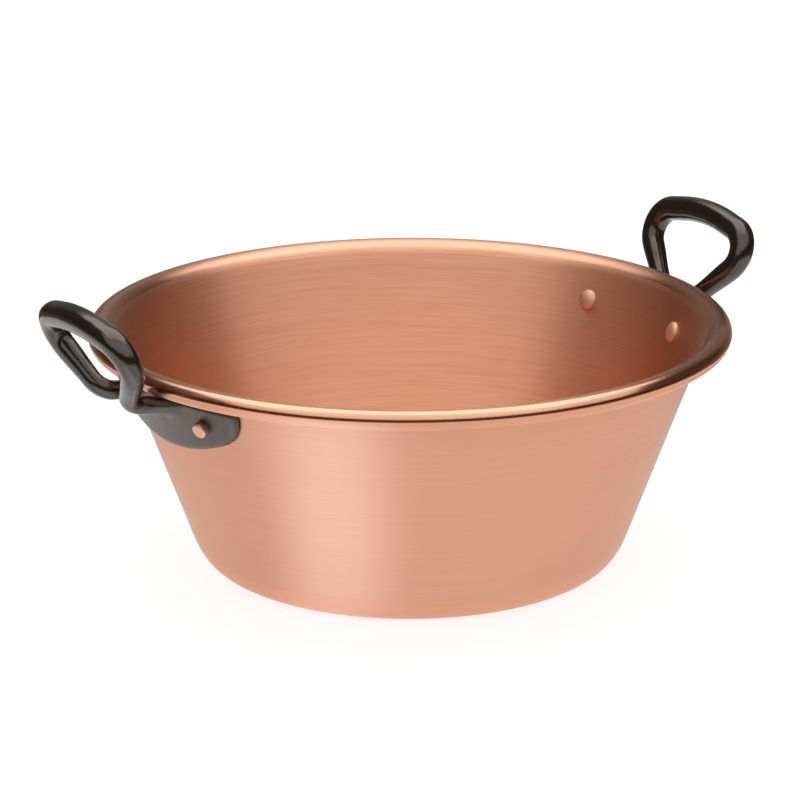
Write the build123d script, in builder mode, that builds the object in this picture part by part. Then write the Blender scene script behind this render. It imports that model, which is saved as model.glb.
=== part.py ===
from build123d import *

import os
from math import asin, cos, degrees, radians, sin, tan

# A copper jam pan: a spun bowl with a flared wall and a wired rim, and two cast-iron loop
# handles, each riveted through its half-moon base plate with two copper rivets.
# Millimetres and degrees, +Z up, the table at z = 0, the handles at +X and -X.

# Driving dimensions of the bowl
rim_diameter = 360
pan_height = 140.5
wall_lean = 20.2
copper_thickness = 1.4
heel_radius = 21
heel_turn = 55
belly_radius = 42
lip_radius = 9.7
rim_wire_diameter = 7.6
wire_clearance = 0.1
tuck_clearance = 0.4

# Driving dimensions of the handles
plate_half_length = 64.5
plate_height = 32.5
plate_thickness = 5.2
plate_end_radius = 24
plate_corner_radius = 3
plate_edge_radius = 1.6
plate_below_bead = 2.5
foot_width = 20
foot_height = 9
leg_diameter = 11.4
grip_diameter = 14.8
shoulder_diameter = 12.8
loop_lean = 66.6
knee_overhang = 8.6
knee_below_bead = 4.1
knee_spacing = 30
knee_radius = 11.5
shoulder_spacing = 110
shoulder_rise = 41.2
shoulder_radius = 14
crown_rise = 10.6
crown_radius = 105
foot_spacing = 38
foot_below_bead = 8.5
seat_gap = 0.1

# Driving dimensions of the rivets
rivet_from_end = 22.85
rivet_below_top = 10.4
shank_diameter = 6
shank_clearance = 0.1
head_diameter = 12
head_height = 2.8
peened_diameter = 8.8
peened_height = 3
peened_edge_radius = 1.2
head_seat_gap = 0.15
peened_seat_gap = 0.05

# One overrun for every cut
overrun = 5

# The rolled rim: a quarter arc as the lip, a half round over the wire, a tuck back to the wall
roll_inner_radius = rim_wire_diameter / 2 + wire_clearance
roll_outer_radius = roll_inner_radius + copper_thickness
roll_x = rim_diameter / 2 - roll_outer_radius
roll_z = pan_height - roll_outer_radius
lip_centre_z = roll_z + roll_inner_radius - lip_radius
wall_top_x = roll_x - lip_radius * cos(radians(wall_lean))
wall_top_z = lip_centre_z + lip_radius * sin(radians(wall_lean))
bead_bottom_z = roll_z - roll_outer_radius
plate_top_z = bead_bottom_z - plate_below_bead

# Rise and run of the curved bottom edge, from the flat base to the straight wall
wall_turn = 90 - wall_lean
heel_rise = heel_radius * (1 - cos(radians(heel_turn)))
heel_run = heel_radius * sin(radians(heel_turn))
belly_rise = belly_radius * (cos(radians(heel_turn)) - cos(radians(wall_turn)))
belly_run = belly_radius * (sin(radians(wall_turn)) - sin(radians(heel_turn)))
wall_foot_z = heel_rise + belly_rise


def wall_radius(z):
    """Radius of the straight wall's outer face at height z."""
    return wall_top_x - (wall_top_z - z) * tan(radians(wall_lean))


base_radius = wall_radius(wall_foot_z) - heel_run - belly_run
tuck_x = wall_radius(roll_z - roll_inner_radius) + tuck_clearance


def sheet_face(inset):
    """Draw one face of the copper sheet, inset from the outer one; return its end at the tuck."""
    base = Line((0, inset), (base_radius, inset))
    heel = JernArc(base @ 1, base % 1, heel_radius - inset, heel_turn)
    belly = JernArc(heel @ 1, heel % 1, belly_radius - inset, wall_turn - heel_turn)
    lip_start = (
        roll_x - (lip_radius + inset) * cos(radians(wall_lean)),
        lip_centre_z + (lip_radius + inset) * sin(radians(wall_lean)),
    )
    wall = Line(belly @ 1, lip_start)
    lip = JernArc(wall @ 1, wall % 1, lip_radius + inset, -wall_turn)
    roll = JernArc(lip @ 1, lip % 1, roll_inner_radius + inset, -180)
    tuck = Line(roll @ 1, (tuck_x, roll_z - roll_inner_radius - inset))
    return tuck @ 1


# Two rivets to a handle, each set in from its end of the plate, below the top edge
rivet_z = plate_top_z - rivet_below_top
rivet_r = wall_radius(rivet_z)
rivet_turn = degrees(asin((plate_half_length - rivet_from_end) / rivet_r))


def rivet_plane(azimuth):
    """Plane on the wall's outer face at a rivet, its normal square to the wall, outward."""
    across, along = cos(radians(azimuth)), sin(radians(azimuth))
    outward = (
        across * cos(radians(wall_lean)),
        along * cos(radians(wall_lean)),
        -sin(radians(wall_lean)),
    )
    return Plane(
        origin=(rivet_r * across, rivet_r * along, rivet_z),
        x_dir=(-along, across, 0),
        z_dir=outward,
    )


rivet_azimuths = {
    "rivet_right_front": -rivet_turn,
    "rivet_right_back": rivet_turn,
    "rivet_left_front": 180 + rivet_turn,
    "rivet_left_back": 180 - rivet_turn,
}
rivet_planes = [rivet_plane(azimuth) for azimuth in rivet_azimuths.values()]
hole_radius = shank_diameter / 2 + shank_clearance
drill_length = 2 * (plate_thickness + overrun)

# The bowl: one sheet of even thickness, its section spun round Z
with BuildPart() as bowl:
    with BuildSketch(Plane.XZ):
        with BuildLine():
            outer_end = sheet_face(0)
            inner_end = sheet_face(copper_thickness)
            Line(outer_end, inner_end)
            Line((0, 0), (0, copper_thickness))
        make_face()
    revolve(axis=Axis.Z)
    with Locations(*rivet_planes):
        Cylinder(hole_radius, drill_length, mode=Mode.SUBTRACT)
bowl.part.label = "bowl"

# The steel wire that the rim is rolled round
with BuildPart() as rim_wire:
    with BuildSketch(Plane.XZ):
        with Locations((roll_x, roll_z)):
            Circle(rim_wire_diameter / 2)
    revolve(axis=Axis.Z)
rim_wire.part.label = "rim_wire"

# The handle's base plate hugs the wall below the bead, a half-moon with round ends
plate_mid_z = plate_top_z - plate_height / 2
plate_end_x = plate_half_length - plate_end_radius
plate_sweep_radius = (plate_end_x**2 + plate_height**2 - plate_end_radius**2) / (
    2 * (plate_height - plate_end_radius)
)
plate_sweep_turn = degrees(asin(plate_end_x / (plate_sweep_radius - plate_end_radius)))
seat_step = seat_gap / cos(radians(wall_lean))

# The loop stands in a plane that leans outward from the knees of its two legs
knee_z = bead_bottom_z - knee_below_bead
loop_plane = Plane(
    origin=(rim_diameter / 2 + knee_overhang, 0, knee_z),
    x_dir=(0, 1, 0),
    z_dir=(sin(radians(loop_lean)), 0, -cos(radians(loop_lean))),
)
knee = loop_plane.from_local_coords((knee_spacing / 2, 0, 0))
shoulder = loop_plane.from_local_coords((shoulder_spacing / 2, shoulder_rise, 0))
crown = loop_plane.from_local_coords((0, shoulder_rise + crown_rise, 0))
foot_z = bead_bottom_z - foot_below_bead
foot = Vector(wall_radius(foot_z), foot_spacing / 2, foot_z)


def across(point):
    """The same point on the loop's other side."""
    return Vector(point.X, -point.Y, point.Z)


with BuildLine() as loop_line:
    FilletPolyline(
        foot, knee, shoulder, crown, across(shoulder), across(knee), across(foot),
        radius=[knee_radius, shoulder_radius, crown_radius, shoulder_radius, knee_radius],
    )
loop_wire = loop_line.wire()


# Sections of the loop where its straight runs and bends meet, from one foot to the other
foot_section = (foot_width, foot_height)
leg_section = (leg_diameter, leg_diameter)
shoulder_section = (shoulder_diameter, shoulder_diameter)
grip_section = (grip_diameter, grip_diameter)
half_sections = [foot_section, leg_section, leg_section, shoulder_section, grip_section, grip_section]
loop_sections = half_sections + half_sections[::-1]


def loop_face(span, end, section):
    """Oval section of the loop, square to one span of its line at the span's start or end."""
    along = span % end
    plane = Plane(origin=span @ end, x_dir=along.cross(loop_plane.z_dir), z_dir=along)
    width, height = section
    with BuildSketch(plane) as oval:
        Ellipse(width / 2, height / 2)
    return oval.sketch.face()


# Each span of the loop tapers from the section at its start to the one at its end
loop_spans = [
    (span, [loop_face(span, 0, start), loop_face(span, 1, end)])
    for span, start, end in zip(loop_wire.edges(), loop_sections, loop_sections[1:])
]
with BuildPart() as loop:
    for span, end_faces in loop_spans:
        sweep(sections=end_faces, path=span, multisection=True)

# The handle: plate and loop cast in one piece, cut to the cone of the wall it sits on
with BuildPart() as handle_right:
    with BuildSketch(Plane.XZ):
        with Locations((wall_radius(plate_mid_z) + seat_step, plate_mid_z)):
            Rectangle(
                plate_thickness,
                2 * plate_height,
                rotation=-wall_lean,
                align=(Align.MIN, Align.CENTER),
            )
    revolve(axis=Axis.Z)
    with BuildSketch(Plane.YZ) as outline:
        with BuildLine():
            sweep_arc = JernArc(
                (0, plate_top_z - plate_height), (1, 0), plate_sweep_radius, plate_sweep_turn
            )
            JernArc(sweep_arc @ 1, sweep_arc % 1, plate_end_radius, 90 - plate_sweep_turn)
            mirror(about=Plane.YZ)
            Line((-plate_half_length, plate_top_z), (plate_half_length, plate_top_z))
        make_face()
        fillet(outline.vertices().group_by(Axis.Y)[-1], plate_corner_radius)
    extrude(amount=rim_diameter, mode=Mode.INTERSECT)
    front = faces().filter_by(GeomType.CONE).sort_by(Axis.X)[-1]
    fillet(front.edges(), plate_edge_radius)
    add(loop.part)
    with BuildSketch(Plane.XZ):
        with BuildLine():
            Polyline(
                (0, 0),
                (wall_radius(0) + seat_step, 0),
                (wall_radius(pan_height) + seat_step, pan_height),
                (0, pan_height),
                close=True,
            )
        make_face()
    revolve(axis=Axis.Z, mode=Mode.SUBTRACT)
    with Locations(*rivet_planes):
        Cylinder(hole_radius, drill_length, mode=Mode.SUBTRACT)
handle_right.part.label = "handle_right"

# The other handle is its mirror image across the pan
with BuildPart() as handle_left:
    mirror(handle_right.part, about=Plane.YZ)
handle_left.part.label = "handle_left"

# Rivets: a domed head inside the bowl, a shank through sheet and plate, a peened end outside
head_dome_radius = (head_diameter**2 / 4 + head_height**2) / (2 * head_height)
head_dome_turn = degrees(asin(head_diameter / 2 / head_dome_radius))
head_seat = -copper_thickness - head_seat_gap
peened_seat = seat_gap + plate_thickness + peened_seat_gap
peened_top = peened_seat + peened_height
rivets = []
for rivet_name, rivet_azimuth in rivet_azimuths.items():
    hole = rivet_plane(rivet_azimuth)
    with BuildPart() as rivet:
        with BuildSketch(Plane(origin=hole.origin, x_dir=hole.x_dir, z_dir=-hole.y_dir)) as half:
            with BuildLine():
                dome = JernArc((0, head_seat - head_height), (1, 0), head_dome_radius, head_dome_turn)
                Polyline(
                    dome @ 1,
                    (shank_diameter / 2, head_seat),
                    (shank_diameter / 2, peened_seat),
                    (peened_diameter / 2, peened_seat),
                    (peened_diameter / 2, peened_top),
                    (0, peened_top),
                    dome @ 0,
                )
            make_face()
            fillet(half.vertices().group_by(Axis.Y)[-1].sort_by(Axis.X)[-1], peened_edge_radius)
        revolve(axis=Axis(hole.origin, hole.z_dir))
    rivet.part.label = rivet_name
    rivets.append(rivet)

os.makedirs("parts", exist_ok=True)
for piece in (bowl, rim_wire, handle_right, handle_left, *rivets):
    export_step(piece.part, f"parts/{piece.part.label}.step")
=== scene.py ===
from math import acos, asin, cos, pi, radians, sin, sqrt, tan

import bpy
import numpy as np
from mathutils import Matrix, Vector


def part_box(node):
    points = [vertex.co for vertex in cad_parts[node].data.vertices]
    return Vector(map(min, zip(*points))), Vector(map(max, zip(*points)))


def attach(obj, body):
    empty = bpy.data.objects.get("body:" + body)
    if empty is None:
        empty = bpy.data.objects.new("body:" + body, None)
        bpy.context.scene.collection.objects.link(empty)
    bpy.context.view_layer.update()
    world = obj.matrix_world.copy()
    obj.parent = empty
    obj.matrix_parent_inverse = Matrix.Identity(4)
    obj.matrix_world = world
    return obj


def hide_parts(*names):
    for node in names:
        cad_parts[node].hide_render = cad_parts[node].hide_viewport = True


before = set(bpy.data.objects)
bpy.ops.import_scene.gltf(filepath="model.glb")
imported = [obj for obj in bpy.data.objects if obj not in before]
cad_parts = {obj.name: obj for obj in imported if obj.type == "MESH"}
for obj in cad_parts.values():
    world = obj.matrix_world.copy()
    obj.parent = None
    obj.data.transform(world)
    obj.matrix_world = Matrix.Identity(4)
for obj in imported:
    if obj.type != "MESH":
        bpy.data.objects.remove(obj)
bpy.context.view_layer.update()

# A copper jam pan on a white table: a spun bowl with a flared wall and a rolled, wired rim, and two
# black cast-iron loop handles, each riveted through its half-moon plate with two copper rivets.
# Metres and radians, the pan standing on z = 0 with its handles at +X and -X.

# Sizes read from the frame
bowl_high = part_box("bowl")[1]
wire_low, wire_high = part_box("rim_wire")
rim_radius = bowl_high.x
pan_height = bowl_high.z

# The bowl: copper sheet, its heel and belly arcs, the lip and the bead rolled over the wire
wall_lean = radians(20.2)
copper_thickness = 0.0014
heel_radius = 0.021
heel_turn = radians(55)
belly_radius = 0.042
lip_radius = 0.0097
tuck_clearance = 0.0004
roll_z = (wire_low.z + wire_high.z) / 2
roll_outer_radius = pan_height - roll_z
roll_inner_radius = roll_outer_radius - copper_thickness
roll_x = rim_radius - roll_outer_radius
bead_bottom_z = roll_z - roll_outer_radius
wall_turn = pi / 2 - wall_lean
lip_centre_z = roll_z + roll_inner_radius - lip_radius
wall_top_x = roll_x - lip_radius * cos(wall_lean)
wall_top_z = lip_centre_z + lip_radius * sin(wall_lean)
curve_rise = heel_radius * (1 - cos(heel_turn)) + belly_radius * (cos(heel_turn) - cos(wall_turn))
curve_run = heel_radius * sin(heel_turn) + belly_radius * (sin(wall_turn) - sin(heel_turn))


def wall_radius(z):
    """Radius of the straight wall's outer face at height z."""
    return wall_top_x - (wall_top_z - z) * tan(wall_lean)


base_radius = wall_radius(curve_rise) - curve_run
wall_length = (wall_top_z - curve_rise) / cos(wall_lean)
tuck_length = roll_x - wall_radius(roll_z - roll_inner_radius) - tuck_clearance

# The handle's plate, in the plane across the pan, and its thickness outward from the wall
plate_half_length = 0.0645
plate_height = 0.0325
plate_thickness = 0.0052
plate_end_radius = 0.024
plate_corner_radius = 0.003
plate_edge_radius = 0.0025
plate_below_bead = 0.0025
plate_seat_gap = 0.0002
plate_top_z = bead_bottom_z - plate_below_bead
plate_bottom_z = plate_top_z - plate_height

# The handle's loop: its line from foot to foot, and its thickness along it
loop_lean = radians(66.6)
knee_overhang = 0.0086
knee_below_bead = 0.0041
knee_spacing = 0.030
knee_radius = 0.0115
shoulder_spacing = 0.110
shoulder_rise = 0.0412
shoulder_radius = 0.014
crown_rise = 0.0106
crown_radius = 0.105
foot_spacing = 0.038
foot_below_bead = 0.0085
foot_depth = 0.0026
foot_z = bead_bottom_z - foot_below_bead
foot_size = (0.019, 0.0092)
leg_size = (0.0107, 0.0107)
shoulder_size = (0.0126, 0.0126)
grip_size = (0.0144, 0.0144)
loop_squareness = 2.3

# The casting's skin, and the mould's fillets where the loop's feet run out into the plate
casting_voxel = 0.0007
casting_smoothings = 8
fillet_lift = 0.001
fillet_reach = 0.019
fillet_rounds = 140

# The rivets: a rounded head inside, a hammered stub outside
rivet_from_end = 0.02285
rivet_below_top = 0.0104
rivet_z = plate_top_z - rivet_below_top
head_radius = 0.006
head_height = 0.0028
stub_radius = 0.0044
stub_height = 0.0044
stub_edge_radius = 0.0012
shank_share = 0.7
shank_radius = shank_share * stub_radius

# The camera, as the photograph was taken
camera_side_turn = radians(33.2)
camera_reach = 1.9928
camera_height = 0.7105
camera_heading = radians(-33.04)
camera_pitch = radians(17.24)
camera_roll = radians(-0.156)
camera_turn = -pi / 2 - camera_side_turn
sensor_width = 36.0
lens_length = 166.6

# The white table
table_half_width = 30.0
table_glow = 0.80

# The dark curtain: how high it stands, seen from the pan, and where its skirt ends on the table, at
# some turns from the camera's side of the pan, and its shade at others
curtain_radius = 4.0
curtain_lift = 0.003
curtain_turns = np.radians([-142, -120, -76, -62, 80, 120, 142])
curtain_heights = np.radians([40, 52, 40, 22, 22, 48, 40])
skirt_radii = np.array([0.5, 0.5, 0.8, 0.95, 0.95, 0.5, 0.5])
backdrop_turns = np.radians([138, 155, 172, 178])
backdrop_shades = np.array([0.0, 0.33, 0.33, 0.9])
skirt_shade = 0.09

# The pool of light on the table: where it starts, which way and how far it runs, and how it widens
# and fades
pool_start_turn = radians(-16)
pool_turn = radians(-32)
pool_spread = radians(32)
pool_lift = 0.002
pool_reach = 0.5
pool_start_half_width = 0.05
pool_fade_power = 0.63
pool_colour = (0.54, 0.83, 1.12, 1.0)

# What the lamps are turned to: a place in the bowl
lamp_target = Vector((0, 0, 0.1))


# Meshes from numpy arrays

def whole_turn(columns):
    """The angles of a ring's points: even steps round one whole turn."""
    return 2 * pi * np.arange(columns) / columns


def walk(start, heading, stretches):
    """Carry a point along straight and curved stretches, each given as (length, turn, steps).

    The heading turns at a steady rate along a stretch, so a stretch is a line or an arc. A step is
    the chord of its small arc: it lies along the heading halfway through the step.
    Returns the points, the headings and the lengths travelled.
    """
    lengths = np.concatenate([np.full(steps, length / steps) for length, turn, steps in stretches])
    turns = np.concatenate([np.full(steps, turn / steps) for length, turn, steps in stretches])
    headings = heading + np.concatenate([[0], np.cumsum(turns)])
    middle = headings[:-1] + turns / 2
    chords = lengths * np.sinc(turns / (2 * pi))
    steps = chords[:, None] * np.column_stack([np.cos(middle), np.sin(middle)])
    points = np.vstack([start, start + np.cumsum(steps, axis=0)])
    return points, headings, np.concatenate([[0], np.cumsum(lengths)])


def rings_mesh(name, rings, first_pole, last_pole, travelled=None):
    """Close a stack of rings into one skin, with a fan of triangles to a pole at each end.

    Row i of the array is ring i, each with the same count of points. Neighbouring rings are joined
    by quads. The UV map holds the turn round the ring and the length travelled across the rings.
    """
    rows, columns = rings.shape[:2]
    points = np.vstack([rings.reshape(-1, 3), first_pole, last_pole])
    row, column = np.indices((rows - 1, columns)).reshape(2, -1)
    following = (column + 1) % columns
    quads = np.column_stack([
        row * columns + column, row * columns + following,
        (row + 1) * columns + following, (row + 1) * columns + column,
    ])
    edge = np.arange(columns)
    after = (edge + 1) % columns
    last = (rows - 1) * columns
    first_fan = np.column_stack([np.full(columns, rows * columns), after, edge])
    last_fan = np.column_stack([np.full(columns, rows * columns + 1), last + edge, last + after])
    mesh = bpy.data.meshes.new(name)
    mesh.from_pydata(points, [], quads.tolist() + first_fan.tolist() + last_fan.tolist())
    if travelled is not None:
        # The turn and the length at the faces' corners: the quads, the first fan, the last fan
        corner_columns = np.concatenate([
            np.column_stack([column, column + 1, column + 1, column]).ravel(),
            np.column_stack([edge + 0.5, edge + 1, edge]).ravel(),
            np.column_stack([edge + 0.5, edge, edge + 1]).ravel(),
        ])
        corner_lengths = np.concatenate([
            travelled[np.column_stack([row, row, row + 1, row + 1])].ravel(),
            np.repeat(travelled[[0, -1]], 3 * columns),
        ])
        places = np.column_stack([corner_columns / columns, corner_lengths])
        mesh.uv_layers.new(name="turn_and_length").data.foreach_set("uv", places.ravel())
    mesh.shade_smooth()
    mesh.validate()
    return mesh


def grid_faces(corners, columns):
    """Quads for a grid that has this many points in a row, each given by its first corner."""
    return np.column_stack([corners, corners + 1, corners + columns + 1, corners + columns]).tolist()


def vertex_places(mesh):
    """The places of a mesh's vertices, one row each."""
    places = np.empty(len(mesh.vertices) * 3)
    mesh.vertices.foreach_get("co", places)
    return places.reshape(-1, 3)


def add_piece(name, mesh, node, materials):
    """Put a finished mesh into the scene in place of its CAD node."""
    piece = bpy.data.objects.new(name, mesh)
    bpy.context.scene.collection.objects.link(piece)
    for material in materials:
        mesh.materials.append(material)
    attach(piece, "root")
    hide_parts(node)


# Materials

def linear(hex_colour):
    """The linear colour of an sRGB hex value."""
    channels = np.array([int(hex_colour[i:i + 2], 16) / 255 for i in (1, 3, 5)])
    low = channels / 12.92
    high = ((channels + 0.055) / 1.055) ** 2.4
    return (*np.where(channels <= 0.04045, low, high), 1.0)


def add_node(tree, kind, settings=None, inputs=None):
    """Add one node with its own settings; an input is a plain value or another node's socket."""
    node = tree.nodes.new(kind)
    for name, value in (settings or {}).items():
        setattr(node, name, value)
    for name, value in (inputs or {}).items():
        if isinstance(value, bpy.types.NodeSocket):
            tree.links.new(value, node.inputs[name])
        else:
            node.inputs[name].default_value = value
    return node


def new_material(name, shader_inputs):
    """A material whose shader has these plain values; returns it, its tree and its shader."""
    material = bpy.data.materials.new(name)
    material.use_nodes = True
    tree = material.node_tree
    shader = tree.nodes["Principled BSDF"]
    for socket, value in shader_inputs.items():
        shader.inputs[socket].default_value = value
    return material, tree, shader


def spun_copper(name, colour, streak_colour, roughness, streak_roughness, line_depth, dash_share):
    """Copper sheet spun on a lathe, then brushed while it turns.

    The brush leaves fine rings round the axis, here 0.5 mm apart so that they show. They spread
    each highlight across themselves, up and down the wall, and streak it a little in tone. Where
    the brush skipped it left dashes, about 45 mm long and 1.2 mm wide.
    """
    material, tree, shader = new_material(name, {
        "Metallic": 1.0, "Anisotropic": 0.9, "Anisotropic Rotation": 0.25,
    })
    line_spacing, line_length = 0.0005, 0.12
    dash_width, dash_length = 0.0012, 0.045
    noise_low, noise_high = 0.35, 0.65
    place = add_node(tree, "ShaderNodeTexCoord").outputs["Object"]
    across = add_node(tree, "ShaderNodeSeparateXYZ", {}, {"Vector": place}).outputs
    position = add_node(tree, "ShaderNodeUVMap", {"uv_map": "turn_and_length"}).outputs["UV"]
    travelled = add_node(tree, "ShaderNodeSeparateXYZ", {}, {"Vector": position}).outputs["Y"]
    # The place on the sheet: across the pan in both directions, and the length along its section
    on_sheet = add_node(tree, "ShaderNodeCombineXYZ", {}, {
        "X": across["X"], "Y": across["Y"], "Z": travelled,
    }).outputs["Vector"]
    stretched = add_node(tree, "ShaderNodeMapping", {}, {
        "Vector": on_sheet, "Scale": (1 / line_length, 1 / line_length, 1 / line_spacing),
    }).outputs["Vector"]
    lines = add_node(tree, "ShaderNodeTexNoise", {}, {
        "Vector": stretched, "Scale": 1.0, "Detail": 3.0, "Roughness": 0.6,
    }).outputs["Fac"]
    skipped = add_node(tree, "ShaderNodeMapping", {}, {
        "Vector": on_sheet, "Scale": (1 / dash_length, 1 / dash_length, 1 / dash_width),
    }).outputs["Vector"]
    dashes = add_node(tree, "ShaderNodeTexNoise", {}, {
        "Vector": skipped, "Scale": 1.0, "Detail": 2.0, "Roughness": 0.5,
    }).outputs["Fac"]
    both = add_node(tree, "ShaderNodeMix", {}, {
        "Factor": dash_share, "A": lines, "B": dashes,
    }).outputs["Result"]
    share = add_node(tree, "ShaderNodeMapRange", {}, {
        "Value": both, "From Min": noise_low, "From Max": noise_high,
    }).outputs["Result"]
    tint = add_node(tree, "ShaderNodeMix", {"data_type": "RGBA"}, {
        "Factor": share, 6: linear(colour), 7: linear(streak_colour),
    }).outputs[2]
    rough = add_node(tree, "ShaderNodeMapRange", {}, {
        "Value": both, "From Min": noise_low, "From Max": noise_high,
        "To Min": roughness, "To Max": streak_roughness,
    }).outputs["Result"]
    tangent = add_node(tree, "ShaderNodeTangent", {
        "direction_type": "UV_MAP", "uv_map": "turn_and_length",
    }).outputs["Tangent"]
    bump = add_node(tree, "ShaderNodeBump", {}, {
        "Height": lines, "Strength": 1.0, "Distance": line_depth,
    }).outputs["Normal"]
    tree.links.new(tint, shader.inputs["Base Color"])
    tree.links.new(rough, shader.inputs["Roughness"])
    tree.links.new(bump, shader.inputs["Normal"])
    tree.links.new(tangent, shader.inputs["Tangent"])
    return material


def polished_copper():
    """Copper once polished and dulled by use, with faint soft marks that keep its highlights from
    looking flat."""
    material, tree, shader = new_material("polished copper", {
        "Base Color": linear("#E0B097"), "Metallic": 1.0,
    })
    mark_size, mark_depth = 0.002, 0.00002
    place = add_node(tree, "ShaderNodeTexCoord").outputs["Object"]
    marks = add_node(tree, "ShaderNodeTexNoise", {}, {
        "Vector": place, "Scale": 1 / mark_size, "Detail": 4.0,
    }).outputs["Fac"]
    rough = add_node(tree, "ShaderNodeMapRange", {}, {
        "Value": marks, "To Min": 0.364, "To Max": 0.78,
    }).outputs["Result"]
    bump = add_node(tree, "ShaderNodeBump", {}, {
        "Height": marks, "Strength": 1.0, "Distance": mark_depth,
    }).outputs["Normal"]
    tree.links.new(rough, shader.inputs["Roughness"])
    tree.links.new(bump, shader.inputs["Normal"])
    return material


def black_cast_iron():
    """Sand-cast iron, tumbled smooth and blackened. The black skin is iron oxide, which shines like
    polished stone and not like a metal: near black face on, paler at a slant, with soft-edged
    highlights over a fine grain. The loop, which hands rub, shines more than the plate."""
    material, tree, shader = new_material("blackened cast iron", {
        "Metallic": 0.0, "IOR": 1.80, "Specular Tint": linear("#FFE9DA"),
    })
    grain_size, grain_depth = 0.0012, 0.00005
    swell_size, swell_depth = 0.009, 0.0004
    rubbed_start, rubbed_full = 0.008, 0.022
    place = add_node(tree, "ShaderNodeTexCoord").outputs["Object"]
    grain = add_node(tree, "ShaderNodeTexNoise", {}, {
        "Vector": place, "Scale": 1 / grain_size, "Detail": 5.0, "Roughness": 0.65,
    }).outputs["Fac"]
    swell = add_node(tree, "ShaderNodeTexNoise", {}, {
        "Vector": place, "Scale": 1 / swell_size, "Detail": 2.0,
    }).outputs["Fac"]
    # How rubbed the iron is goes by how far it stands out from the wall: 0 on the plate, 1 on the loop
    level = add_node(tree, "ShaderNodeVectorMath", {"operation": "MULTIPLY"}, {
        0: place, 1: (1.0, 1.0, 0.0),
    }).outputs["Vector"]
    radius = add_node(tree, "ShaderNodeVectorMath", {"operation": "LENGTH"}, {
        0: level,
    }).outputs["Value"]
    height = add_node(tree, "ShaderNodeSeparateXYZ", {}, {"Vector": place}).outputs["Z"]
    wall = add_node(tree, "ShaderNodeMath", {"operation": "MULTIPLY_ADD"}, {
        0: height, 1: tan(wall_lean), 2: wall_radius(0),
    }).outputs[0]
    outward = add_node(tree, "ShaderNodeMath", {"operation": "SUBTRACT"}, {
        0: radius, 1: wall,
    }).outputs[0]
    rubbed = add_node(tree, "ShaderNodeMapRange", {"interpolation_type": "SMOOTHSTEP"}, {
        "Value": outward, "From Min": rubbed_start, "From Max": rubbed_full,
    }).outputs["Result"]
    matt = add_node(tree, "ShaderNodeMix", {"data_type": "RGBA"}, {
        "Factor": grain, 6: linear("#1F1813"), 7: linear("#352A20"),
    }).outputs[2]
    shiny = add_node(tree, "ShaderNodeMix", {"data_type": "RGBA"}, {
        "Factor": swell, 6: linear("#120F0D"), 7: linear("#1E1A17"),
    }).outputs[2]
    tint = add_node(tree, "ShaderNodeMix", {"data_type": "RGBA"}, {
        "Factor": rubbed, 6: matt, 7: shiny,
    }).outputs[2]
    dull = add_node(tree, "ShaderNodeMapRange", {}, {
        "Value": grain, "To Min": 0.34, "To Max": 0.44,
    }).outputs["Result"]
    glossy = add_node(tree, "ShaderNodeMapRange", {}, {
        "Value": grain, "To Min": 0.15, "To Max": 0.24,
    }).outputs["Result"]
    rough = add_node(tree, "ShaderNodeMix", {}, {
        "Factor": rubbed, "A": dull, "B": glossy,
    }).outputs["Result"]
    fine = add_node(tree, "ShaderNodeBump", {}, {
        "Height": grain, "Strength": 0.5, "Distance": grain_depth,
    }).outputs["Normal"]
    both = add_node(tree, "ShaderNodeBump", {}, {
        "Height": swell, "Strength": 0.6, "Distance": swell_depth, "Normal": fine,
    }).outputs["Normal"]
    tree.links.new(tint, shader.inputs["Base Color"])
    tree.links.new(rough, shader.inputs["Roughness"])
    tree.links.new(both, shader.inputs["Normal"])
    return material


def drawn_steel():
    """Steel wire as drawn through a die: grey, with small dull marks."""
    material, tree, shader = new_material("drawn steel wire", {
        "Base Color": linear("#8C8A88"), "Metallic": 1.0,
    })
    mark_size = 0.0008
    place = add_node(tree, "ShaderNodeTexCoord").outputs["Object"]
    marks = add_node(tree, "ShaderNodeTexNoise", {}, {
        "Vector": place, "Scale": 1 / mark_size, "Detail": 3.0,
    }).outputs["Fac"]
    rough = add_node(tree, "ShaderNodeMapRange", {}, {
        "Value": marks, "To Min": 0.3, "To Max": 0.5,
    }).outputs["Result"]
    tree.links.new(rough, shader.inputs["Roughness"])
    return material


# One copper in five finishes. The roughness of each is its real finish, but the colours are lit and
# shaded copies of the one metal. The inside is tinted apart from the outside to suit the light in the
# bowl. The lip, the rim and most of all the polished edge are painted darker: a painted shade that
# dims their highlights.
copper_inside = spun_copper(
    "spun copper, brushed inside", "#ECB696", "#E6AA89",
    roughness=0.42, streak_roughness=0.50, line_depth=0.000010, dash_share=0.5,
)
copper_outside = spun_copper(
    "spun copper, satin outside", "#EFB395", "#EDAF90",
    roughness=0.44, streak_roughness=0.48, line_depth=0.000004, dash_share=0.0,
)
copper_lip = spun_copper(
    "spun copper, buffed lip, painted darker", "#E0A78C", "#DD9F83",
    roughness=0.26, streak_roughness=0.31, line_depth=0.000003, dash_share=0.2,
)
copper_rim = spun_copper(
    "spun copper, buffed rim, painted darker", "#E5AC8E", "#E2A587",
    roughness=0.21, streak_roughness=0.25, line_depth=0.000003, dash_share=0.2,
)
copper_edge = spun_copper(
    "spun copper, polished edge, painted darkest", "#D8977A", "#D59073",
    roughness=0.10, streak_roughness=0.13, line_depth=0.000003, dash_share=0.2,
)
copper_rivet = polished_copper()
cast_iron = black_cast_iron()
wire_steel = drawn_steel()


# The bowl

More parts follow.
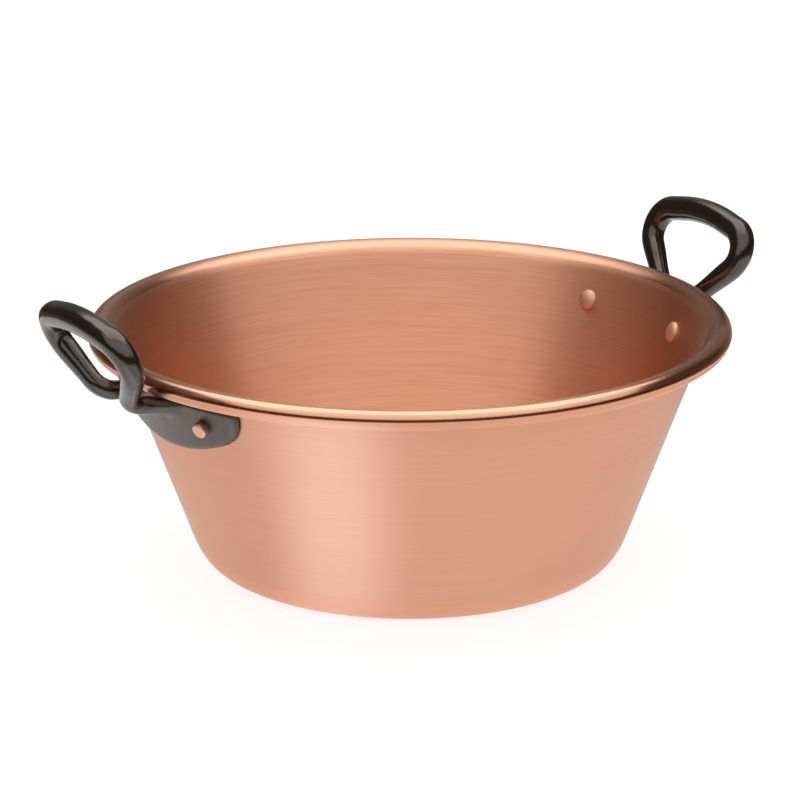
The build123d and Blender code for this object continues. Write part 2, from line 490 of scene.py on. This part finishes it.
def bowl_mesh():
    """The sheet's section spun round the axis.

    The outer face is walked from the centre of the base to the tuck under the bead. The inner face
    lies one sheet's thickness to its left: each point moved square to the heading there. The
    section runs out along the outer face and back along the inner one.
    """
    columns = 360
    stretches = [
        (base_radius, 0, 14),
        (heel_radius * heel_turn, heel_turn, 16),
        (belly_radius * (wall_turn - heel_turn), wall_turn - heel_turn, 8),
        (wall_length, 0, 20),
        (lip_radius * wall_turn, -wall_turn, 12),
        (roll_inner_radius * pi, -pi, 24),
        (tuck_length, 0, 2),
    ]
    outer, headings, travelled = walk((0, 0), 0.0, stretches)
    left = np.column_stack([-np.sin(headings), np.cos(headings)])
    inner = outer + copper_thickness * left
    section = np.vstack([outer[1:], inner[:0:-1]])
    length = np.concatenate([travelled[1:], 2 * travelled[-1] - travelled[:0:-1]])
    turn = whole_turn(columns)
    r, z = section[:, 0, None], section[:, 1, None]
    rings = np.stack([r * np.cos(turn), r * np.sin(turn), z + 0 * turn], axis=-1)
    mesh = rings_mesh("bowl_sheet", rings, (0, 0, 0), (0, 0, copper_thickness), length)

    # The steps at which a finish starts, one on the lip and three on the bead's roll: the lip buffed,
    # the bead buffed, its outermost line polished, and satin below that line.
    # The lip, the bead and most of all the polished line also carry a painted shade: their copper is
    # painted darker.
    lip_buffed_painted_shade, bead_buffed_painted_shade, line_polished_painted_shade, satin_below = 5, 1, 10, 14
    steps = np.cumsum([steps for length, turn, steps in stretches])
    lip_start, roll_start, walk_end = steps[3], steps[4], steps[-1]
    last_ring = len(section) - 1
    ring = np.concatenate([
        np.repeat(np.arange(last_ring), columns), np.zeros(columns, int), np.full(columns, last_ring),
    ])
    finish_and_shade = np.digitize(2 * walk_end - ring, [
        lip_start + lip_buffed_painted_shade, roll_start + bead_buffed_painted_shade,
        roll_start + line_polished_painted_shade, roll_start + satin_below,
    ])
    mesh.polygons.foreach_set("material_index", finish_and_shade.astype(np.int32))
    return mesh


add_piece("bowl_sheet", bowl_mesh(), "bowl",
          [copper_inside, copper_lip, copper_rim, copper_edge, copper_outside])


# The handles

def on_wall(y, z, depth):
    """The point over the wall at y and z, lifted square off the wall's outer face by depth."""
    y, z, depth = np.broadcast_arrays(y, z, depth)
    radius = wall_radius(z) + depth / cos(wall_lean)
    return np.stack([np.sqrt(radius**2 - y**2), y, z], axis=-1)


def plate_outline():
    """The half-moon, walked from the middle of its lower edge: a wide arc, an end arc and a small
    corner arc on each side, and the straight top edge."""
    end_x = plate_half_length - plate_end_radius
    end_rise = plate_height - plate_end_radius
    sweep_radius = (end_x**2 + plate_height**2 - plate_end_radius**2) / (2 * end_rise)
    sweep_turn = asin(end_x / (sweep_radius - plate_end_radius))
    corner_reach = plate_end_radius - plate_corner_radius
    corner_lift = asin(plate_corner_radius / corner_reach)
    top_half = end_x + sqrt(corner_reach**2 - plate_corner_radius**2)
    end_turn = pi / 2 - corner_lift - sweep_turn
    corner_turn = pi / 2 + corner_lift
    side = [
        (sweep_radius * sweep_turn, sweep_turn, 40),
        (plate_end_radius * end_turn, end_turn, 30),
        (plate_corner_radius * corner_turn, corner_turn, 10),
        (top_half, 0, 40),
    ]
    points, headings = walk((0, plate_bottom_z), 0.0, side + side[::-1])[:2]
    return points[:-1], headings[:-1]


def plate_mesh():
    """The plate as nested copies of its outline, from the middle of the front, over the rounded
    edge and to the middle of the back, each laid on the cone of the wall at its depth."""
    outline, headings = plate_outline()
    inward = np.column_stack([-np.sin(headings), np.cos(headings)])
    middle_share = 0.6
    middle = np.array([0, plate_bottom_z + middle_share * plate_height])
    nested_shares = np.linspace(0.08, 0.96, 12)
    front_depth = plate_seat_gap + plate_thickness
    rim = outline + plate_edge_radius * inward
    rings = [on_wall(*(middle + share * (rim - middle)).T, front_depth) for share in nested_shares]
    for angle in np.linspace(0, pi / 2, 7):
        inset = plate_edge_radius * (1 - sin(angle))
        depth = front_depth - plate_edge_radius * (1 - cos(angle))
        rings.append(on_wall(*(outline + inset * inward).T, depth))
    for depth in np.linspace(front_depth - plate_edge_radius, plate_seat_gap, 5)[1:]:
        rings.append(on_wall(*outline.T, depth))
    for share in nested_shares[::-1]:
        rings.append(on_wall(*(middle + share * (outline - middle)).T, plate_seat_gap))
    front_pole, back_pole = [on_wall(*middle, depth) for depth in (front_depth, plate_seat_gap)]
    return rings_mesh("plate", np.array(rings), front_pole, back_pole)


def rounded_path(corners, radii, arc_steps, run_steps):
    """Straight runs between the corners, each inner corner cut by an arc tangent to its two runs.

    An arc's point is its start, plus radius times sin(angle) along the first run, plus radius times
    1 - cos(angle) square to it, towards the second run.
    Returns the points and the index at which each run and each arc ends.
    """
    corners = np.array(corners, float)
    runs = np.diff(corners, axis=0)
    along = runs / np.linalg.norm(runs, axis=1)[:, None]
    share = np.linspace(0, 1, run_steps + 1)[1:, None]
    pieces, ends, start = [corners[:1]], [0], corners[0]
    for corner, radius, before, after in zip(corners[1:-1], radii, along, along[1:]):
        turn = acos(before @ after)
        arc_start = corner - radius * tan(turn / 2) * before
        square = (after - cos(turn) * before) / sin(turn)
        angle = np.linspace(0, turn, arc_steps + 1)[1:, None]
        arc = arc_start + radius * (np.sin(angle) * before + (1 - np.cos(angle)) * square)
        pieces += [start + share * (arc_start - start), arc]
        ends += [ends[-1] + run_steps, ends[-1] + run_steps + arc_steps]
        start = arc[-1]
    pieces.append(start + share * (corners[-1] - start))
    ends.append(ends[-1] + run_steps)
    return np.vstack(pieces), ends


def loop_mesh():
    """A squared oval carried along the loop's line.

    The oval's width lies across the line in the loop's own plane, its height square to both. Both
    sizes ease from one station to the next by a half cosine wave of the length between them. A
    point at angle t has the sine and cosine of t each raised to 2 over the squareness.
    """
    columns = 48
    plane_normal = np.array([sin(loop_lean), 0, -cos(loop_lean)])
    plane_up = np.array([cos(loop_lean), 0, sin(loop_lean)])
    origin = np.array([rim_radius + knee_overhang, 0, bead_bottom_z - knee_below_bead])
    across = np.array([0, 1, 0])
    knee = origin + knee_spacing / 2 * across
    shoulder = origin + shoulder_spacing / 2 * across + shoulder_rise * plane_up
    crown = origin + (shoulder_rise + crown_rise) * plane_up
    foot = np.array([wall_radius(foot_z), foot_spacing / 2, foot_z])
    outward = (knee - foot) / np.linalg.norm(knee - foot)
    foot = foot + foot_depth * outward
    mirrored = np.array([1, -1, 1])
    corners = [foot, knee, shoulder, crown, shoulder * mirrored, knee * mirrored, foot * mirrored]
    radii = [knee_radius, shoulder_radius, crown_radius, shoulder_radius, knee_radius]
    line, ends = rounded_path(corners, radii, arc_steps=16, run_steps=10)
    tangent = np.gradient(line, axis=0)
    tangent /= np.linalg.norm(tangent, axis=1)[:, None]
    wide = np.cross(tangent, plane_normal)
    wide /= np.linalg.norm(wide, axis=1)[:, None]
    high = np.cross(tangent, wide)
    travelled = np.concatenate([[0], np.cumsum(np.linalg.norm(np.diff(line, axis=0), axis=1))])
    side_sizes = [foot_size, leg_size, leg_size, shoulder_size, grip_size, grip_size]
    sizes = np.array(side_sizes + side_sizes[::-1])
    station = travelled[ends]
    span = np.clip(np.searchsorted(station, travelled, side="right") - 1, 0, len(station) - 2)
    share = (travelled - station[span]) / (station[span + 1] - station[span])
    eased = ((1 - np.cos(pi * share)) / 2)[:, None]
    size = sizes[span] * (1 - eased) + sizes[span + 1] * eased
    turn = whole_turn(columns)
    over = np.sign(np.cos(turn)) * np.abs(np.cos(turn))**(2 / loop_squareness)
    up = np.sign(np.sin(turn)) * np.abs(np.sin(turn))**(2 / loop_squareness)
    rings = (
        line[:, None]
        + over[None, :, None] * (size[:, 0, None] / 2 * wide)[:, None]
        + up[None, :, None] * (size[:, 1, None] / 2 * high)[:, None]
    )
    return rings_mesh("loop", rings[:, ::-1], line[0], line[-1])


def welded(name, meshes, voxel_size, smoothings):
    """Join closed skins into one casting: remesh their union in small voxels, then smooth the
    mesh, which rounds every crease where they meet to about two voxels."""
    joined = bpy.data.meshes.new(name)
    points, faces, count = [], [], 0
    for mesh in meshes:
        points.append(vertex_places(mesh))
        faces += [[count + vertex for vertex in polygon.vertices] for polygon in mesh.polygons]
        count += len(mesh.vertices)
    joined.from_pydata(np.vstack(points), [], faces)
    carrier = bpy.data.objects.new(name, joined)
    bpy.context.scene.collection.objects.link(carrier)
    remesh = carrier.modifiers.new("remesh", "REMESH")
    remesh.mode = "VOXEL"
    remesh.voxel_size = voxel_size
    smooth = carrier.modifiers.new("smooth", "SMOOTH")
    smooth.factor = 0.5
    smooth.iterations = smoothings
    evaluated = carrier.evaluated_get(bpy.context.evaluated_depsgraph_get())
    result = bpy.data.meshes.new_from_object(evaluated)
    bpy.data.objects.remove(carrier)
    result.shade_smooth()
    return result


def filleted(mesh, centres, reach, rounds):
    """Ease the corners near some centres, as the fillets of a mould do. Each round moves a vertex
    towards the mean of its neighbours, by half at a centre, and by less with a half cosine wave of
    its distance, down to nothing at the reach."""
    places = vertex_places(mesh)
    count = len(places)
    ends = np.empty(len(mesh.edges) * 2, int)
    mesh.edges.foreach_get("vertices", ends)
    one, other = ends.reshape(-1, 2).T
    neighbours = np.bincount(one, minlength=count) + np.bincount(other, minlength=count)
    distance = np.min([np.linalg.norm(places - centre, axis=1) for centre in centres], axis=0)
    share = 0.25 * (1 + np.cos(pi * np.minimum(distance / reach, 1)))[:, None]
    for _ in range(rounds):
        total = np.column_stack([
            np.bincount(one, places[other, axis], count)
            + np.bincount(other, places[one, axis], count)
            for axis in range(3)
        ])
        places = places + share * (total / neighbours[:, None] - places)
    mesh.vertices.foreach_set("co", places.ravel())
    mesh.update()
    return mesh


foot_roots = [
    on_wall(side * foot_spacing / 2, foot_z, plate_thickness + fillet_lift) for side in (-1, 1)
]
casting = welded("handle_casting", [plate_mesh(), loop_mesh()], casting_voxel, casting_smoothings)
casting = filleted(casting, foot_roots, fillet_reach, fillet_rounds)
turned_casting = casting.copy()
turned_casting.transform(Matrix.Rotation(pi, 4, "Z"))
add_piece("right_handle_casting", casting, "handle_right", [cast_iron])
add_piece("left_handle_casting", turned_casting, "handle_left", [cast_iron])


# The rivets

def rivet_frame(turn):
    """The rivet's centre on the wall's outer face, and its three directions: round, up, outward."""
    outward = np.array([cos(turn) * cos(wall_lean), sin(turn) * cos(wall_lean), -sin(wall_lean)])
    around = np.array([-sin(turn), cos(turn), 0])
    radius = wall_radius(rivet_z)
    centre = np.array([radius * cos(turn), radius * sin(turn), rivet_z])
    return centre, around, np.cross(outward, around), outward


def rivet_mesh(name, turn):
    """The rivet's half section spun round its own axis: a head inside the bowl, a quarter of an
    oval in section, the shank, and a stub with a rounded edge outside."""
    columns = 64
    head_seat = -copper_thickness
    stub_seat = plate_seat_gap + plate_thickness
    rise = np.linspace(0, pi / 2, 17)
    dome = np.column_stack([head_radius * np.sin(rise), head_seat - head_height * np.cos(rise)])
    shank = [(shank_radius, head_seat), (shank_radius, stub_seat), (stub_radius, stub_seat)]
    top = stub_seat + stub_height
    edge = walk((stub_radius, top - stub_edge_radius), pi / 2,
                [(stub_edge_radius * pi / 2, pi / 2, 6)])[0]
    flat = [(stub_radius * share, top) for share in (0.6, 0.4, 0.2)]
    section = np.vstack([dome[1:], shank, edge, flat])
    centre, around, up, outward = rivet_frame(turn)
    angle = whole_turn(columns)
    r, depth = section[:, 0, None, None], section[:, 1, None, None]
    rings = centre + depth * outward + r * (
        np.cos(angle)[None, :, None] * around + np.sin(angle)[None, :, None] * up)
    first = centre + (head_seat - head_height) * outward
    last = centre + top * outward
    return rings_mesh(name, rings, first, last)


rivet_turn = asin((plate_half_length - rivet_from_end) / wall_radius(rivet_z))
rivet_turns = {
    "rivet_right_front": -rivet_turn,
    "rivet_right_back": rivet_turn,
    "rivet_left_front": pi + rivet_turn,
    "rivet_left_back": pi - rivet_turn,
}
for node, turn in rivet_turns.items():
    name = node + "_copper"
    add_piece(name, rivet_mesh(name, turn), node, [copper_rivet])

# The wire inside the bead keeps its CAD solid
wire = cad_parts["rim_wire"]
wire.data.materials.clear()
wire.data.materials.append(wire_steel)


# The table, the white room, the dark curtain and the lamps

def from_camera(turn, distance, height):
    """A place given by its turn round the pan, to the right from the camera's side, its distance
    from the pan's axis and its height."""
    direction = camera_turn + turn
    return Vector((distance * cos(direction), distance * sin(direction), height))


def seen_share(tree):
    """1 for the rays that see the background, by eye, by gloss or through glass, and 0 for the
    rays that only carry light."""
    path = add_node(tree, "ShaderNodeLightPath").outputs
    either = add_node(tree, "ShaderNodeMath", {"operation": "MAXIMUM"}, {
        0: path["Is Camera Ray"], 1: path["Is Glossy Ray"],
    }).outputs[0]
    return add_node(tree, "ShaderNodeMath", {"operation": "MAXIMUM"}, {
        0: either, 1: path["Is Transmission Ray"],
    }).outputs[0]


def white_table_top():
    """A matt white table top. The eye and the copper see it lighter than the room lights it, so it
    runs into the white background and still keeps the pan's shadow, soft and pale."""
    material, tree, shader = new_material("matt white table top", {
        "Base Color": linear("#8E8E8E"), "Roughness": 0.9, "Specular IOR Level": 0.0,
        "Emission Color": (1.0, 1.0, 1.0, 1.0),
    })
    glow = add_node(tree, "ShaderNodeMath", {"operation": "MULTIPLY"}, {
        0: seen_share(tree), 1: table_glow,
    }).outputs[0]
    tree.links.new(glow, shader.inputs["Emission Strength"])
    return material


def table_mesh():
    """A flat square of table top, far wider than the view."""
    half = table_half_width
    mesh = bpy.data.meshes.new("table")
    corners = [(-half, -half, 0), (half, -half, 0), (half, half, 0), (-half, half, 0)]
    mesh.from_pydata(corners, [], [(0, 1, 2, 3)])
    mesh.materials.append(white_table_top())
    return mesh


def curtain_mesh():
    """A dark curtain hung round the table, paler behind the pan: a wall of one radius and a skirt
    that runs in over the table. The wall's top, the skirt's hem and the shade run straight from the
    height, the radius and the shade given for one turn to those of the next. Only reflections see
    it: it darkens the copper's ends and parts of the iron."""
    columns = 145
    away = np.linspace(-pi, pi, columns)
    turn = camera_turn + away
    top = np.interp(away, curtain_turns, curtain_radius * np.tan(curtain_heights))
    hem_radius = np.interp(away, curtain_turns, skirt_radii)
    circle = np.column_stack([np.cos(turn), np.sin(turn)])
    foot = np.full(columns, curtain_lift)
    hem = np.column_stack([hem_radius[:, None] * circle, foot])
    low = np.column_stack([curtain_radius * circle, foot])
    high = np.column_stack([curtain_radius * circle, top])
    column = np.arange(columns - 1)
    corners = np.concatenate([column, 2 * columns + column])
    mesh = bpy.data.meshes.new("curtain")
    mesh.from_pydata(np.vstack([hem, low, low, high]), [], grid_faces(corners, columns))
    wall_shade = np.interp(np.abs(away), backdrop_turns, backdrop_shades)
    table_shade = np.maximum(wall_shade, skirt_shade)
    shade = np.concatenate([table_shade, table_shade, wall_shade, wall_shade])
    mesh.attributes.new("shade", "FLOAT", "POINT").data.foreach_set("value", shade)
    material, tree, shader = new_material("dark brown curtain", {
        "Roughness": 1.0, "Specular IOR Level": 0.0,
    })
    share = add_node(tree, "ShaderNodeAttribute", {"attribute_name": "shade"}).outputs["Fac"]
    tint = add_node(tree, "ShaderNodeMix", {"data_type": "RGBA"}, {
        "Factor": share, 6: linear("#56463A"), 7: linear("#D3CDC6"),
    }).outputs[2]
    tree.links.new(tint, shader.inputs["Base Color"])
    mesh.materials.append(material)
    return mesh


def pool_mesh():
    """A fan of cool light that lies on the table and runs out from the foot of the wall. Its
    strength is a squared cosine across it, times a sine along it. The sine's angle is half a turn
    times a power of the share of the reach, which puts its peak at a third of the reach."""
    rows, columns = 24, 24
    start = np.array(from_camera(pool_start_turn, base_radius, pool_lift))
    along = np.array(from_camera(pool_turn, 1, 0))
    side = np.array([-along[1], along[0], 0])
    reach = np.linspace(0, pool_reach, rows)[:, None]
    across = np.linspace(-1, 1, columns)[None, :]
    half_width = pool_start_half_width + reach * tan(pool_spread)
    points = start + reach[..., None] * along + (half_width * across)[..., None] * side
    fade = np.cos(pi / 2 * across)**2 * np.sin(pi * (reach / pool_reach)**pool_fade_power)
    row, column = np.indices((rows - 1, columns - 1)).reshape(2, -1)
    mesh = bpy.data.meshes.new("pool_of_light")
    mesh.from_pydata(points.reshape(-1, 3), [], grid_faces(row * columns + column, columns))
    mesh.attributes.new("fade", "FLOAT", "POINT").data.foreach_set("value", fade.ravel())
    material, tree = new_material("pool of light", {})[:2]
    strength = add_node(tree, "ShaderNodeAttribute", {"attribute_name": "fade"}).outputs["Fac"]
    light = add_node(tree, "ShaderNodeEmission", {}, {
        "Color": pool_colour, "Strength": strength,
    }).outputs["Emission"]
    clear = add_node(tree, "ShaderNodeBsdfTransparent").outputs["BSDF"]
    both = add_node(tree, "ShaderNodeAddShader", {}, {0: light, 1: clear}).outputs["Shader"]
    tree.links.new(both, tree.nodes["Material Output"].inputs["Surface"])
    mesh.materials.append(material)
    return mesh


def add_stage(name, data):
    """Put a piece of the studio, which is no part of the pan, into the scene."""
    piece = bpy.data.objects.new(name, data)
    bpy.context.scene.collection.objects.link(piece)
    return piece


def add_lamp(name, place, size, radiance, colour=(1.0, 1.0, 1.0)):
    """A flat rectangular lamp, turned to the pan, of one brightness over its face. A face of area A
    that shines at radiance L gives out pi L A watts."""
    lamp = bpy.data.lights.new(name, "AREA")
    lamp.color = colour
    lamp.shape = "RECTANGLE"
    lamp.size, lamp.size_y = size
    lamp.energy = radiance * pi * size[0] * size[1]
    piece = add_stage(name, lamp)
    facing = (lamp_target - place).to_track_quat("-Z", "Y").to_matrix().to_4x4()
    piece.matrix_world = Matrix.Translation(place) @ facing
    piece.visible_camera = False


add_stage("table", table_mesh())
for name, mesh in (("curtain", curtain_mesh()), ("pool_of_light", pool_mesh())):
    reflected = add_stage(name, mesh)
    reflected.visible_camera = False
    reflected.visible_diffuse = False
    reflected.visible_shadow = False
add_lamp("softbox_above", from_camera(turn=0, distance=-0.5, height=2.2),
         size=(3.0, 2.2), radiance=1.2)
add_lamp("softbox_in_front", from_camera(turn=radians(6), distance=1.6, height=1.7),
         size=(4.0, 1.5), radiance=0.2, colour=(0.9, 1.0, 1.1))

world = bpy.data.worlds.new("white room")
world.use_nodes = True
bpy.context.scene.world = world
background = world.node_tree.nodes["Background"]
background.inputs["Color"].default_value = (1.0, 1.0, 1.0, 1.0)
background.inputs["Strength"].default_value = 1.0

camera_data = bpy.data.cameras.new("camera")
camera_data.sensor_width = sensor_width
camera_data.lens = lens_length
camera_data.clip_end = 100.0
camera = bpy.data.objects.new("camera", camera_data)
bpy.context.scene.collection.objects.link(camera)
camera.matrix_world = (
    Matrix.Translation(from_camera(0, camera_reach, camera_height))
    @ Matrix.Rotation(camera_heading, 4, "Z")
    @ Matrix.Rotation(pi / 2 - camera_pitch, 4, "X")
    @ Matrix.Rotation(camera_roll, 4, "Z")
)
bpy.context.scene.camera = camera
bpy.context.scene.view_settings.view_transform = "Standard"
